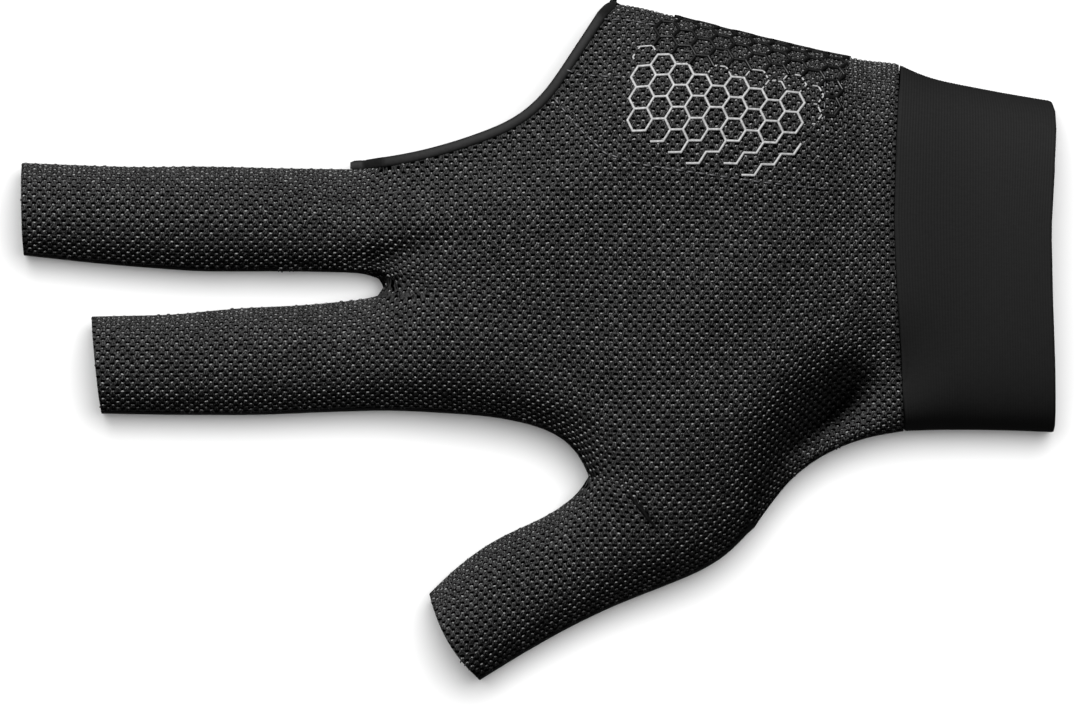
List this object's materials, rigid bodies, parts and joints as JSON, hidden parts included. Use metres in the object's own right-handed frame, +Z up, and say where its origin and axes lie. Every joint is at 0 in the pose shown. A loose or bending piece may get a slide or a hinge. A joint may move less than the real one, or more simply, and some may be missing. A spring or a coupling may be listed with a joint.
{
  "type": "billiard glove",
  "caption": "Billiard glove for thumb, index and middle finger, lying palm up, with an elastic wrist band, an open side for the other fingers and a honeycomb grip on the heel.",
  "frame": {"origin": "middle of the bounding box at its base, where the back of the glove rests", "axes": "+Z up out of the palm, +X towards the wrist opening and the longest extent, fingers towards -X, thumb towards -Y"},
  "size_m": [0.2102, 0.1378, 0.0278],
  "materials": {
    "palm_mesh": "black air-mesh knit with raised knots and small holes, matt",
    "back_cloth": "smooth black stretch cloth, slight sheen",
    "cuff_band": "black ribbed elastic, matt",
    "binding_tape": "dark grey folded stretch tape, smooth",
    "grip_print": "silver-grey raised silicone print that turns glossy black towards the edge"
  },
  "bodies": {
    "root": {"palm_panel": "palm_mesh", "back_panel": "back_cloth", "wrist_cuff": "cuff_band", "palm_binding": "binding_tape", "back_binding": "binding_tape", "grip_honeycomb": "grip_print"}
  },
  "joints": []
}
